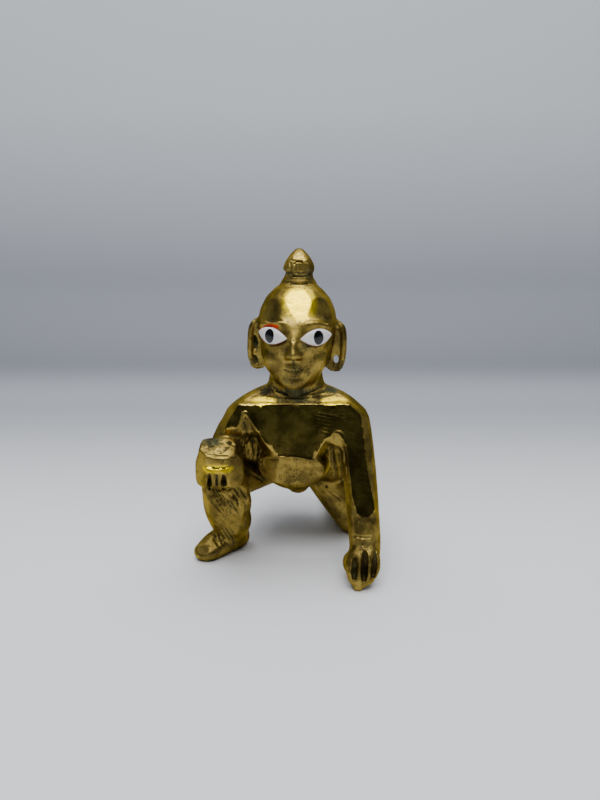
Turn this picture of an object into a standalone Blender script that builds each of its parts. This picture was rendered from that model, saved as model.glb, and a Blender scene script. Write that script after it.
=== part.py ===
# Crawling child idol, a small solid brass casting with two inlaid eye plates.
# The figure faces -Y, its own left side is at +X, and it stands on Z = 0.
import math

import bmesh
import bpy
from mathutils import Euler, Matrix, Vector

# The figure is set out in modules, as an icon maker does: 75 modules from floor to topknot.
FIGURE_HEIGHT = 0.075
MODULE = FIGURE_HEIGHT / 75

# Eye plates, cut from shell or enamel and set on the finished casting.
EYE_LENGTH = 0.0074
EYE_HEIGHT = 0.0037
EYE_THICKNESS = 0.0007
EYE_GAP = 0.0003
EYE_BRIDGE = 0.0028

# The lids, a rim of metal round each plate.
LID_RISE = 0.0005
LID_WIDTH = 0.0009
LID_DEPTH = 2.5 * MODULE

# The slot pierced through the left ear, and the blind hollow drilled in the right one.
EAR_SLOT_WIDTH = 0.0013
EAR_SLOT_HEIGHT = 0.0026
EAR_HOLLOW_WIDTH = 0.0018

# The slots chased between the fingers.
FINGER_SLOT_WIDTH = 0.0008
FINGER_SLOT_DEPTH = 0.0012
HAND_SLOT_WIDTH = 0.0012

# The pip of metal left under the hand that leans on the floor.
PIP_RADIUS = 0.0012
PIP_HEIGHT = 0.0009

# How finely the clay is gathered into one skin, and how far it is then thinned.
CLAY_GRAIN = 0.42 * MODULE
CLAY_SMOOTHING = 4
CASTING_TRIANGLES = 8000

BRASS = (0.62, 0.43, 0.14, 1.0)
SHELL_WHITE = (0.86, 0.84, 0.82, 1.0)

UPRIGHT = Matrix.Identity(4)


def turned(centre, turn=(0, 0, 0), scale=(1, 1, 1)):
    """A matrix that puts something at centre, given in modules, turned by degrees about X, Y and Z."""
    angles = Euler([math.radians(a) for a in turn])
    return Matrix.LocRotScale(Vector(centre) * MODULE, angles, Vector(scale) * MODULE)


def press(clay, lump, matrix):
    """Presses a moved copy of a small mesh onto the clay."""
    copy = lump.copy()
    copy.transform(matrix)
    clay.from_mesh(copy)
    bpy.data.meshes.remove(copy)


def round_lump():
    """A ball of radius 1 to press on wherever a round lump is wanted."""
    sphere = bmesh.new()
    bmesh.ops.create_uvsphere(sphere, u_segments=18, v_segments=10, radius=1)
    mesh = bpy.data.meshes.new("round_lump")
    sphere.to_mesh(mesh)
    sphere.free()
    return mesh


def ball(clay, centre, radii, turn=(0, 0, 0), frame=UPRIGHT):
    """Presses a round lump of clay on, with radii along X, Y and Z in modules."""
    radii = (radii,) * 3 if isinstance(radii, (int, float)) else radii
    press(clay, ROUND_LUMP, frame @ turned(centre, turn, radii))


def block(clay, centre, size, turn=(0, 0, 0), bevel=1.0, frame=UPRIGHT):
    """Presses a box with chamfered edges on, its size and bevel in modules."""
    box = bmesh.new()
    bmesh.ops.create_cube(box, size=1, matrix=Matrix.Diagonal((*size, 1)))
    bmesh.ops.bevel(box, geom=box.edges[:], offset=bevel, segments=2, profile=0.6, affect="EDGES")
    lump = bpy.data.meshes.new("lump")
    box.to_mesh(lump)
    box.free()
    press(clay, lump, frame @ turned(centre, turn))


def between(a, b, c, d, t):
    """The point a share t of the way from b to c on the smooth curve through a, b, c and d."""
    return 0.5 * (2 * b + (c - a) * t + (2 * a - 5 * b + 4 * c - d) * t**2 + (3 * b - a - 3 * c + d) * t**3)


def roll(clay, stations, frame=UPRIGHT):
    """A roll of clay through stations (x, y, z, radius) or (x, y, z, rx, ry, rz), in modules."""
    rows = [Vector((*s, s[3], s[3]) if len(s) == 4 else s) for s in stations]
    rows = [2 * rows[0] - rows[1], *rows, 2 * rows[-1] - rows[-2]]
    for i in range(1, len(rows) - 2):
        a, b, c, d = rows[i - 1 : i + 3]
        run = Vector(c[:3]) - Vector(b[:3])
        steps = max(2, math.ceil(run.length / (0.22 * min(min(b[3:]), min(c[3:])))))
        for k in range(steps + (i == len(rows) - 3)):
            x, y, z, *radii = between(a, b, c, d, k / steps)
            ball(clay, (x, y, z), [max(r, 0.2) for r in radii], frame=frame)


def plane_off(clay, point, normal):
    """Files the clay flat: what lies beyond the plane comes off, and the cuts are closed."""
    cut = bmesh.ops.bisect_plane(
        clay,
        geom=clay.verts[:] + clay.edges[:] + clay.faces[:],
        plane_co=Vector(point) * MODULE,
        plane_no=Vector(normal),
        clear_outer=True,
    )
    edges = [e for e in cut["geom_cut"] if isinstance(e, bmesh.types.BMEdge)]
    bmesh.ops.holes_fill(clay, edges=edges, sides=0)


def facing(rise):
    """The direction that looks forward and up by this many degrees."""
    return (0, -math.cos(math.radians(rise)), math.sin(math.radians(rise)))


ROUND_LUMP = round_lump()

# Torso and arms, filed flat in front

CHEST_FACE = (0, -11.4, 41)
CHEST_RISE = 9
SHOULDER_EDGE = (0, -11.6, 40.6)
ARM_FACE = (15, -14.4, 30)
ARM_RISE = 19
ARM_EDGE = (17.6, -14.4, 30)


def chest(clay):
    """Chest and shoulders, filed flat in front and along the top edge of each shoulder."""
    roll(
        clay,
        [
            (-13, -6, 35, 4.3, 7.5, 4.4),
            (-9.5, -6, 37.2, 4.6, 8.5, 4.6),
            (-4, -5.6, 39.2, 5, 9, 4.6),
            (4, -5.6, 39.2, 5, 9, 4.6),
            (9.5, -6, 37.2, 4.6, 9, 4.6),
            (13, -6.6, 34.6, 4.5, 9, 4.6),
        ],
    )
    roll(clay, [(0, -6, 37, 10.5, 9, 5), (-0.3, -5.5, 33, 9.6, 10, 5), (-0.6, -5, 27, 7.4, 10.5, 5)])
    ball(clay, (10.4, -7, 34), (5.6, 9, 5))
    plane_off(clay, CHEST_FACE, facing(CHEST_RISE))
    for side in (-1, 1):
        plane_off(clay, SHOULDER_EDGE, (side * 0.1, -0.6, 0.78))


def leaning_arm(clay):
    """The left arm, straight down to the floor, flat in front and chamfered along its outer side."""
    roll(
        clay,
        [
            (12.8, -7, 34.4, 4.8, 8.4, 4.8),
            (14.2, -9.6, 29, 4.1, 7, 4),
            (15.2, -13.4, 19, 3.9, 5.6, 3.8),
            (15.8, -18, 9, 3.7, 4.4, 3.4),
            (15.4, -20, 5.5, 3.6, 3.6, 3.6),
        ],
    )
    plane_off(clay, ARM_FACE, facing(ARM_RISE))
    plane_off(clay, ARM_EDGE, (0.78, -0.58, 0.2))


def back(clay):
    """The back, sloping from the shoulders down to the seat."""
    roll(
        clay,
        [
            (0, -3, 35.6, 13, 6, 6),
            (0, 0.5, 33.6, 12.6, 7, 7),
            (0, 6, 29.4, 11.8, 8, 7.4),
            (0, 12, 24.4, 11.2, 8.4, 7.6),
            (0, 16, 20.8, 10.6, 8, 7),
        ],
    )


def belly(clay):
    ball(clay, (-0.6, -8.6, 24.6), (8.8, 7.4, 5), turn=(-12, 0, 0))
    ball(clay, (-0.4, 0, 22.2), (8.6, 10, 6.2))
    ball(clay, (0.4, -2.5, 17), (2.7, 2.4, 1.9))


def seat(clay):
    for side in (-1, 1):
        ball(clay, (side * 5, 18.4, 19.2), (6.4, 7.4, 7.8))


def flanks(clay):
    """Metal that the founder left between the arms and the thighs, well behind the chest."""
    roll(clay, [(-10.8, -1.5, 33, 5.4, 4.2, 5), (-12, -0.6, 27, 5.2, 4.6, 5), (-12.6, 1, 22.4, 4.6, 5, 5)])
    roll(clay, [(9, -0.5, 31, 4.6, 5, 5), (9.4, 3, 26, 5, 6, 5.4), (9, 8, 20.5, 6, 6.4, 6)])


def neck(clay):
    roll(clay, [(0, -4.6, 39, 9.4, 7.4, 3.4), (0, -4.4, 42.2, 7.2, 6.8, 2.8), (0, -4, 46.4, 6.2, 6.4, 3.2)])


# Hands, and the slots chased between their fingers


def leaning_hand(clay):
    """Four fingers drawn together to a blunt point, over the pip that meets the floor."""
    ball(clay, (15.2, -20.6, 5.6), (3.9, 3.2, 4.1))
    fingers = [
        (15.2, -21.2, 6.8, 4, 2.9, 2.6),
        (15, -22.6, 4.6, 4, 2.8, 2.4),
        (14.6, -23, 2.6, 3.2, 2.3, 2),
    ]
    roll(clay, fingers)
    ball(clay, (11.8, -19.0, 4.4), (1.2, 2.1, 2.6), turn=(25, 0, 0))
    pip = PIP_RADIUS / MODULE
    roll(clay, [(13.9, -23.6, 2.0, pip), (13.9, -23.6, PIP_HEIGHT / MODULE, pip), (13.9, -23.6, -0.8, pip)])


def raised_arm(clay):
    """The right arm, bent at the elbow, with its fist on the raised knee."""
    roll(clay, [(-13, -6.4, 34.4, 4.5), (-15.2, -8, 31.6, 4.1), (-16.4, -9, 29, 4)])
    roll(clay, [(-16.4, -9, 28.6, 4.2), (-17, -14, 28, 4.2), (-17.2, -17, 28, 4)])


def fist(clay):
    """The hand closed on a sweet: the knuckles above, the curled fingers below."""
    block(clay, (-17.3, -16.4, 28.9), (9.4, 7.6, 7.2), turn=(30, 0, 0), bevel=2.4)
    block(clay, (-17.3, -16.8, 25.8), (10.9, 8.2, 7.2), turn=(-12, 0, 0), bevel=1.9)


# Legs


def raised_leg(clay):
    """The right leg, its knee up under the fist and its foot flat on the floor."""
    roll(clay, [(-6.5, 15, 19, 6.8), (-11, 4, 19.4, 5.6), (-15.2, -7, 20.4, 4.8), (-16.6, -10.5, 20, 4.4)])
    roll(
        clay,
        [
            (-16.9, -10.5, 19.5, 5.6, 4.8, 4),
            (-16.8, -7.5, 13, 5.6, 5.2, 4),
            (-16.4, -4, 7.5, 4.7, 5, 4),
            (-16.2, -1.4, 3.6, 4.1, 4.2, 3.6),
        ],
    )
    roll(
        clay,
        [
            (-15.6, 0, 2.6, 3.7, 3.9, 3.2),
            (-18.9, -4.4, 3.0, 4.2, 4.1, 3.0),
            (-21.8, -7.6, 1.9, 3.6, 3.5, 2.3),
        ],
    )


def kneeling_leg(clay):
    """The left leg, its knee on the floor and its foot drawn up behind."""
    roll(clay, [(6.2, 15.5, 19.5, 7.4), (9.6, 11, 14, 6.4), (14.0, 8.4, 6.6, 5.2), (14.8, 8.8, 4.4, 4.7)])
    roll(clay, [(14.6, 10, 4.2, 4.7), (13.2, 19, 4.2, 4.5), (11.6, 27, 3.6, 3.4)])
    roll(clay, [(11.6, 27, 3.6, 3.4), (11, 30.2, 4.6, 3.3, 2.4, 3.8), (10.6, 32, 1.6, 3.3, 1.9, 1.8)])


# Head, laid out round its own axis from the base of the skull

HEAD_PLACE = (0, -4, 44.6)
HEAD_LEAN = 1.4
HEAD_TURN = -4
EYE_LEVEL = 11.2
EYE_AXIS = (0, -1.6)
EYE_SEAT_RADIUS = 8.9 * MODULE
EYE_OFFSET = (EYE_BRIDGE + EYE_LENGTH) / 2
EYE_SLANT = 6


def head_frame():
    turn = Euler((0, math.radians(HEAD_LEAN), math.radians(HEAD_TURN)))
    return Matrix.LocRotScale(Vector(HEAD_PLACE) * MODULE, turn, None)


HEAD_FRAME = head_frame()


def skull(clay):
    ball(clay, (0, 0.4, 13.1), (9.3, 9.8, 10), frame=HEAD_FRAME)
    ball(clay, (0, -2.2, 8.8), (8.5, 8.5, 9.6), frame=HEAD_FRAME)
    ball(clay, (0, -4.4, 3.8), (6.4, 5.6, 5.4), frame=HEAD_FRAME)
    ball(clay, (0, -7.8, 0.9), (3.2, 2.6, 2.3), frame=HEAD_FRAME)
    for side in (-1, 1):
        ball(clay, (side * 3.6, -5.7, 5.6), (3.7, 3.8, 4.2), frame=HEAD_FRAME)
        stations = ((1.7, -10.1, 14.2, 0.6), (4.6, -9.6, 14.7, 0.7), (7.8, -6.8, 13.4, 0.6))
        brow = [(side * across, *rest) for across, *rest in stations]
        roll(clay, brow, frame=HEAD_FRAME)


def nose_and_lips(clay):
    """A plain nose from the brow, and closed lips a third of the way from it to the chin."""
    roll(clay, [(0, -9.9, 13, 0.8), (0, -10.9, 9.6, 0.95), (0, -11.8, 7.2, 1.2)], frame=HEAD_FRAME)
    for side in (-1, 1):
        ball(clay, (side * 1.2, -10.7, 6.9), (0.9, 1.1, 0.8), frame=HEAD_FRAME)
    for height, half_width, fullness in ((4.3, 2.6, 0.7), (3.1, 2.2, 0.8)):
        corner = (-8.9, height + 0.2, 0.4)
        lip = [(-half_width, *corner), (0, -10, height, fullness), (half_width, *corner)]
        roll(clay, lip, frame=HEAD_FRAME)


def ear(clay, side):
    """A long ear, its rim raised round a hollow, standing square to the head."""
    rim = []
    for degrees in range(110, -136, -35):
        across = math.cos(math.radians(degrees))
        up = math.sin(math.radians(degrees))
        square = 1 / max(abs(across), abs(up)) ** 0.45
        reach = side * (9.1 + 1.8 * across * square)
        rim.append((reach, 0.2 - 0.8 * across, 7.9 + 5.3 * up * square, 0.85, 1.5, 0.85))
    roll(clay, rim, frame=HEAD_FRAME)
    block(clay, (side * 9, 1.2, 7.7), (4, 2, 11), bevel=0.8, frame=HEAD_FRAME)


def topknot(clay):
    """Hair drawn up through a collar into a pointed knot."""
    band = [(4.2, 22), (4.2, 22.5), (3.6, 23.3), (3.1, 24.3)]
    knot = [(3.6, 24.9), (3.75, 25.6), (3.4, 26.8), (2.5, 28.2), (1.2, 29.5)]
    for rings, thickness in ((band, 0.6), (knot, 0.8)):
        roll(clay, [(0, 0.6, up, width, width, thickness) for width, up in rings], frame=HEAD_FRAME)


def almond(name, side, radius, depth, grow):
    """An almond of metal or shell wrapped round the head's axis, from radius outwards by depth."""
    half_length = EYE_LENGTH / 2 + grow
    half_height = EYE_HEIGHT / 2 + grow
    slant = math.tan(math.radians(EYE_SLANT)) * side
    shape = bmesh.new()
    bmesh.ops.create_grid(shape, x_segments=12, y_segments=4, size=1)
    for vert in shape.verts:
        along, across = vert.co.x * half_length, vert.co.y * half_height * (1 - vert.co.x**2)
        angle = (side * EYE_OFFSET + along) / EYE_SEAT_RADIUS
        vert.co = (
            EYE_AXIS[0] * MODULE + radius * math.sin(angle),
            EYE_AXIS[1] * MODULE - radius * math.cos(angle),
            EYE_LEVEL * MODULE + across + slant * along,
        )
    bmesh.ops.remove_doubles(shape, verts=shape.verts, dist=MODULE / 100)
    mesh = bpy.data.meshes.new(name)
    shape.to_mesh(mesh)
    shape.free()
    mesh.transform(HEAD_FRAME)
    obj = bpy.data.objects.new(name, mesh)
    wall = obj.modifiers.new("wall", "SOLIDIFY")
    wall.thickness = depth
    wall.offset = 1
    return obj


# Casting


def clay_figure():
    """Every lump in one mesh, overlapping, not yet gathered into one skin."""
    clay = bmesh.new()
    for model in (chest, leaning_arm):
        filed = bmesh.new()
        model(filed)
        lump = bpy.data.meshes.new("filed")
        filed.to_mesh(lump)
        filed.free()
        press(clay, lump, UPRIGHT)
    for model in (back, belly, seat, flanks, neck, leaning_hand, raised_arm, fist):
        model(clay)
    for model in (raised_leg, kneeling_leg, skull, nose_and_lips, topknot):
        model(clay)
    for side in (-1, 1):
        ear(clay, side)
        lid = almond("lid", side, EYE_SEAT_RADIUS - LID_DEPTH, LID_DEPTH + LID_RISE, LID_WIDTH)
        press(clay, settled(lid), UPRIGHT)
        bpy.data.objects.remove(lid)
    mesh = bpy.data.meshes.new("clay")
    clay.to_mesh(mesh)
    clay.free()
    return mesh


def settled(obj):
    """A mesh of the object as its modifiers leave it."""
    loose = not obj.users_collection
    if loose:
        bpy.context.scene.collection.objects.link(obj)
    graph = bpy.context.evaluated_depsgraph_get()
    mesh = bpy.data.meshes.new_from_object(obj.evaluated_get(graph))
    if loose:
        bpy.context.scene.collection.objects.unlink(obj)
    return mesh


def cut_away(obj, cutter, cutters):
    """Takes the cutter's shape out of the object."""
    cutters.objects.link(cutter)
    cutter.hide_render = True
    cutter.display_type = "WIRE"
    cut = obj.modifiers.new(cutter.name, "BOOLEAN")
    cut.operation = "DIFFERENCE"
    cut.object = cutter


def floor_cutter():
    """All that lies under the floor."""
    shape = bmesh.new()
    side = 4 * FIGURE_HEIGHT
    bmesh.ops.create_cube(shape, size=side, matrix=Matrix.Translation((0, 0, -side / 2)))
    mesh = bpy.data.meshes.new("floor_cut")
    shape.to_mesh(mesh)
    shape.free()
    return bpy.data.objects.new("floor_cut", mesh)


def oval_cutter(name, centre, width, depth, height, turn=(0, 0, 0), frame=UPRIGHT):
    """An upright oval bar that runs from front to back."""
    shape = bmesh.new()
    stance = Matrix.Rotation(math.radians(90), 4, "X")
    bmesh.ops.create_cone(
        shape, cap_ends=True, segments=16, radius1=0.5, radius2=0.5, depth=1, matrix=stance
    )
    mesh = bpy.data.meshes.new(name)
    shape.to_mesh(mesh)
    shape.free()
    mesh.transform(Matrix.Diagonal((width, depth, height, 1)))
    mesh.transform(frame @ turned(centre, turn, (1 / MODULE,) * 3))
    return bpy.data.objects.new(name, mesh)


def chased_slots():
    """Ear hollows, and the slots that part the fingers."""
    ear_slot = (EAR_SLOT_WIDTH, 8 * MODULE, EAR_SLOT_HEIGHT)
    ear_hollow = (EAR_HOLLOW_WIDTH, 3.4 * MODULE, EAR_SLOT_HEIGHT)
    slots = [
        oval_cutter("ear_slot", (9.3, 0.5, 4.8), *ear_slot, frame=HEAD_FRAME),
        oval_cutter("ear_hollow", (-9.3, -1.2, 8.8), *ear_hollow, frame=HEAD_FRAME),
    ]
    fist_slot = (FINGER_SLOT_WIDTH, 2 * FINGER_SLOT_DEPTH, 4.6 * MODULE, (-12, 0, 0))
    for i, x in enumerate((-19.2, -15.7)):
        slots.append(oval_cutter(f"fist_slot_{i}", (x, -21.2, 23.4), *fist_slot))
    hand_slot = (HAND_SLOT_WIDTH, 2 * FINGER_SLOT_DEPTH, 5.6 * MODULE, (22, 0, 0))
    for i, x in enumerate((12.9, 15, 17.1)):
        slots.append(oval_cutter(f"hand_slot_{i}", (x, -25, 5.2), *hand_slot))
    return slots


def finish(name, colour, metallic, roughness):
    material = bpy.data.materials.new(name)
    material.use_nodes = True
    shader = material.node_tree.nodes["Principled BSDF"]
    shader.inputs["Base Color"].default_value = colour
    shader.inputs["Metallic"].default_value = metallic
    shader.inputs["Roughness"].default_value = roughness
    return material


def casting(collection):
    """The whole figure as one skin, thinned to a workable number of faces."""
    obj = bpy.data.objects.new("idol", clay_figure())
    collection.objects.link(obj)
    gather = obj.modifiers.new("gather", "REMESH")
    gather.mode = "VOXEL"
    gather.voxel_size = CLAY_GRAIN
    smooth = obj.modifiers.new("smooth", "SMOOTH")
    smooth.factor = 0.5
    smooth.iterations = CLAY_SMOOTHING
    skin = settled(obj)
    obj.modifiers.clear()
    obj.data = skin
    thin = obj.modifiers.new("thin", "DECIMATE")
    thin.ratio = CASTING_TRIANGLES / (2 * len(skin.polygons))
    skin = settled(obj)
    obj.modifiers.clear()
    obj.data = skin
    skin.materials.clear()
    skin.materials.append(finish("brass", BRASS, 1.0, 0.25))
    skin.shade_smooth()
    return obj


def eyes(collection):
    white = finish("eye_shell", SHELL_WHITE, 0.0, 0.2)
    plates = []
    for name, side in (("right_eye", -1), ("left_eye", 1)):
        plate = almond(name, side, EYE_SEAT_RADIUS + EYE_GAP, EYE_THICKNESS, 0)
        plate.data.materials.append(white)
        collection.objects.link(plate)
        plates.append(plate)
    return plates


def centre_on_origin(idol, objects):
    """Moves everything together so that the middle of the casting's footprint is at the origin."""
    spots = [vert.co for vert in settled(idol).vertices]
    low = Vector([min(spot[i] for spot in spots) for i in range(3)])
    high = Vector([max(spot[i] for spot in spots) for i in range(3)])
    middle = (low + high) / 2
    for obj in objects:
        obj.data.transform(Matrix.Translation((-middle.x, -middle.y, 0)))


def main():
    for obj in list(bpy.data.objects):
        bpy.data.objects.remove(obj)
    collection = bpy.data.collections.new("crawling_child_idol")
    cutters = bpy.data.collections.new("cutters")
    bpy.context.scene.collection.children.link(collection)
    bpy.context.scene.collection.children.link(cutters)
    idol = casting(collection)
    cut_away(idol, floor_cutter(), cutters)
    for name, side in (("right_seat", -1), ("left_seat", 1)):
        clear_depth = 4 * MODULE
        cut_away(idol, almond(name, side, EYE_SEAT_RADIUS, clear_depth, EYE_GAP), cutters)
    for slot in chased_slots():
        cut_away(idol, slot, cutters)
    eyes(collection)
    centre_on_origin(idol, [*collection.objects, *cutters.objects])


main()
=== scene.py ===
import math
import random

import bpy
import numpy as np
from mathutils import Euler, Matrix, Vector, noise
from mathutils.bvhtree import BVHTree


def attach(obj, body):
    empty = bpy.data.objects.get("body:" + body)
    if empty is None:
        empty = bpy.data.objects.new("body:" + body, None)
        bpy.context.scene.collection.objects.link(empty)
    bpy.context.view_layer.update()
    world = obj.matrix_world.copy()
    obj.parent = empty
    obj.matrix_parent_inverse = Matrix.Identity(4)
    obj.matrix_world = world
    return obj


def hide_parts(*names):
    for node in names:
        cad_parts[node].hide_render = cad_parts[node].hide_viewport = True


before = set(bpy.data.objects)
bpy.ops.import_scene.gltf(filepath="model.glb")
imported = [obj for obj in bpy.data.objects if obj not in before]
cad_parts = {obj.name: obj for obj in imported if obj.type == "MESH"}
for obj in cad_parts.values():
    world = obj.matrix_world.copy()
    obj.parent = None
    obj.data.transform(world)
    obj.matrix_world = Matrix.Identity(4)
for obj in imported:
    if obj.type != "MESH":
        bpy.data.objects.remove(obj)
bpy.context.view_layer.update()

mm = 0.001

# The camera, as the close-up was taken: about 17 cm away and looking 13 degrees down
cameraAt = {
    "place": (3.84, -169.2, 76.5),
    "lookDown": 13.05,
    "lens": 31.05,
    "sensor": 36.0,
    "focalPixels": 690.0,
    "middlePixel": (300, 400),
}
cameraTurn = Euler((math.radians(90 - cameraAt["lookDown"]), 0, 0))


def addCamera(c):
    data = bpy.data.cameras.new("camera")
    data.lens = c["lens"]
    data.sensor_width = c["sensor"]
    data.clip_start = 0.005
    camera = bpy.data.objects.new("camera", data)
    bpy.context.scene.collection.objects.link(camera)
    camera.location = Vector(c["place"]) * mm
    camera.rotation_euler = cameraTurn
    bpy.context.scene.camera = camera


addCamera(cameraAt)
print("camera placed")


# Small helpers
def soloSelect(thing):
    for other in bpy.context.selected_objects:
        other.select_set(False)
    thing.select_set(True)
    bpy.context.view_layer.objects.active = thing


def applyAll(thing):
    soloSelect(thing)
    for name in [m.name for m in thing.modifiers]:
        bpy.ops.object.modifier_apply(modifier=name)


def copyOfNode(nodeName, pieceName):
    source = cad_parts[nodeName]
    piece = bpy.data.objects.new(pieceName, source.data.copy())
    bpy.context.scene.collection.objects.link(piece)
    piece.data.materials.clear()
    soloSelect(piece)
    bpy.ops.object.mode_set(mode="EDIT")
    bpy.ops.mesh.select_all(action="SELECT")
    bpy.ops.mesh.remove_doubles(threshold=0.000002)  # the frame's triangles come loose
    bpy.ops.object.mode_set(mode="OBJECT")
    return piece


def hexColour(code):
    # sRGB hex to the linear values that shaders take
    parts = [int(code[i : i + 2], 16) / 255 for i in (0, 2, 4)]
    return tuple(p / 12.92 if p <= 0.04045 else ((p + 0.055) / 1.055) ** 2.4 for p in parts) + (1.0,)


def addNode(tree, kind, settings=None, **links):
    # settings are the node's own options; links name its sockets, each a value or another socket
    made = tree.nodes.new("ShaderNode" + kind)
    for key, value in (settings or {}).items():
        setattr(made, key, value)
    for key, value in links.items():
        socket = made.inputs[int(key[1:])] if key[1:].isdigit() else made.inputs[key.replace("_", " ")]
        if isinstance(value, bpy.types.NodeSocket):
            tree.links.new(value, socket)
        else:
            socket.default_value = value
    return made


def readMesh(piece):
    mesh = piece.data
    spots = np.empty(len(mesh.vertices) * 3)
    mesh.vertices.foreach_get("co", spots)
    return spots.reshape(-1, 3) / mm


def writeMesh(piece, spots):
    piece.data.vertices.foreach_set("co", (spots * mm).ravel())
    piece.data.update()


def readNormals(piece):
    mesh = piece.data
    normals = np.empty(len(mesh.vertices) * 3)
    mesh.vertices.foreach_get("normal", normals)
    return normals.reshape(-1, 3)


# The casting: one skin, finer than the solid, then filed and chased
casting = {
    "grain": 0.29,
    "smoothRounds": 10,
    "wobble": 0.035,
    "wobbleSize": 2.6,
    "dents": 0.02,
    "dentSize": 0.9,
    "dentsFrom": (7.0, 3.0, 1.0),
    "filedCalm": 0.8,
    "kept": 0.6,
}
# The middle of the figure's footprint, measured from under its neck
footprint = np.array((-2.9365, 4.2214, 0.0))
dice = random.Random(7)
headAt = {"place": (0, -4, 44.6), "lean": 1.4, "turn": -4}
headTurn = Euler((0, math.radians(headAt["lean"]), math.radians(headAt["turn"]))).to_matrix()


def gatherSkin(c):
    piece = copyOfNode("idol", "brassCasting")
    gather = piece.modifiers.new("gather", "REMESH")
    gather.mode = "VOXEL"
    gather.voxel_size = c["grain"] * mm
    soften = piece.modifiers.new("soften", "SMOOTH")
    soften.factor = 0.5
    soften.iterations = c["smoothRounds"]
    applyAll(piece)
    print("casting gathered:", len(piece.data.polygons), "faces")
    return piece


def photoRay(column, row):
    x, y = cameraAt["middlePixel"]
    f = cameraAt["focalPixels"]
    return cameraTurn.to_matrix() @ Vector(((column - x) / f, (y - row) / f, -1)).normalized()


def skinTree(spots, piece):
    faces = [tuple(p.vertices) for p in piece.data.polygons]
    return BVHTree.FromPolygons([tuple(s) for s in spots], faces)


def seenAt(tree, column, row):
    # where the photograph's pixel falls on the casting, in mm
    spot = tree.ray_cast(Vector(cameraAt["place"]), photoRay(column, row))[0]
    return None if spot is None else np.array(spot)


def seenPath(tree, pixels):
    # a path of pixels, without those that miss the casting
    return [p for p in (seenAt(tree, *pixel) for pixel in pixels) if p is not None]


def inHead(x, y, z):
    # a point laid out round the head's own axis, in mm
    spot = headTurn @ Vector((x, y, z)) + Vector(headAt["place"])
    return np.array(spot) - footprint


def onFace(tree, x, z):
    # the point of the face straight ahead of x and z in the head's own frame
    ahead = headTurn @ Vector((0, 1, 0))
    spot = tree.ray_cast(Vector(inHead(x, -40, z)), ahead)[0]
    return None if spot is None else np.array(spot)


def ringRound(centre, radius, rise, count=24):
    angles = np.linspace(0, 2 * math.pi, count + 1)
    return [inHead(centre[0] + radius * math.cos(a), centre[1] + radius * math.sin(a), rise) for a in angles]


def curved(points, steps=5):
    # a smooth path through a few points
    p = [2 * points[0] - points[1], *points, 2 * points[-1] - points[-2]]
    path = []
    for a, b, c, d in zip(p, p[1:], p[2:], p[3:]):
        for t in np.linspace(0, 1, steps, endpoint=False):
            bend = (2 * a - 5 * b + 4 * c - d) * t**2 + (3 * b - a - 3 * c + d) * t**3
            path.append(0.5 * (2 * b + (c - a) * t + bend))
    return np.array([*path, points[-1]])


def tilted(rise, side=0.0):
    # a direction that looks forward, up by rise degrees and sideways by side degrees
    r, s = math.radians(rise), math.radians(side)
    return np.array((math.sin(s) * math.cos(r), -math.cos(s) * math.cos(r), math.sin(r)))


def fileFlat(spots, point, normal, low, high):
    # takes off what stands above the plane, inside a box given like the point, from under the neck
    n = np.array(normal) / np.linalg.norm(normal)
    p = np.array(point) - footprint
    inside = np.all((spots > np.array(low) - footprint) & (spots < np.array(high) - footprint), axis=1)
    above = (spots - p) @ n
    take = inside & (above > 0)
    spots[take] -= np.outer(above[take], n)


def awayFrom(spots, path):
    # each vertex's distance from a path, and how far along the path its nearest point is, 0 to 1
    best = np.full(len(spots), 1e9)
    share = np.zeros(len(spots))
    runs = np.linalg.norm(np.diff(path, axis=0), axis=1)
    total = max(runs.sum(), 1e-9)
    gone = 0.0
    for a, b, run in zip(path[:-1], path[1:], runs):
        t = np.clip(((spots - a) @ (b - a)) / max(run * run, 1e-9), 0, 1)
        gap = np.linalg.norm(spots - (a + t[:, None] * (b - a)), axis=1)
        nearer = gap < best
        best[nearer] = gap[nearer]
        share[nearer] = (gone + t[nearer] * run) / total
        gone += run
    return best, share


def chase(spots, normals, path, width, depth, burr=0.0):
    # presses a groove along the path, or with a negative depth raises a ridge; burr is metal pushed up beside it
    near = np.all((spots > path.min(0) - width * 1.6) & (spots < path.max(0) + width * 1.6), axis=1)
    rows = np.nonzero(near)[0]
    gap, share = awayFrom(spots[rows], path)
    half = width / 2
    ends = np.sqrt(np.clip(1 - (2 * share - 1) ** 4, 0, 1))
    hollow = np.clip(1 - (gap / half) ** 2, 0, 1) ** 0.8 * depth
    lip = np.exp(-(((gap - half * 1.35) / (half * 0.5)) ** 2)) * burr
    spots[rows] -= normals[rows] * ((hollow - lip) * ends)[:, None]


# Flats left by the file, each a plane and the box that it works in (mm, from under the neck)
flats = {
    "armEdge": ((17.7, -14.5, 30), (0.78, -0.58, 0.2), (11, -30, 11), (24, 5, 39)),
    "collar": ((0, -11.7, 40.5), (0, -0.6, 0.8), (-15, -30, 38), (15, -6, 43.5)),
    "belly": ((0, -13.7, 27.4), tilted(-24), (-9, -30, 16), (8.4, 0, 28.4)),
    "bellyRight": ((-4.2, -13, 26), tilted(-16, -34), (-10, -30, 16), (-1, 0, 28)),
    "shin": ((-18.3, -14.4, 16), tilted(-6, -24), (-24, -30, 7), (-12, 0, 21.5)),
    "shinInner": ((-12.7, -12.6, 14), tilted(-3, 38), (-15.5, -30, 5), (-8, 0, 21)),
    "fistLeft": ((-22.1, -17.6, 26), tilted(2, -52), (-26, -30, 21), (-18, 0, 33)),
    "fistRight": ((-12.5, -18.4, 26), tilted(4, 48), (-15, -30, 21), (-8, 0, 30)),
    "fistLow": ((-17.3, -21.2, 23.6), tilted(-14), (-22, -30, 20.4), (-12.4, 0, 26.6)),
}
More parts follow.
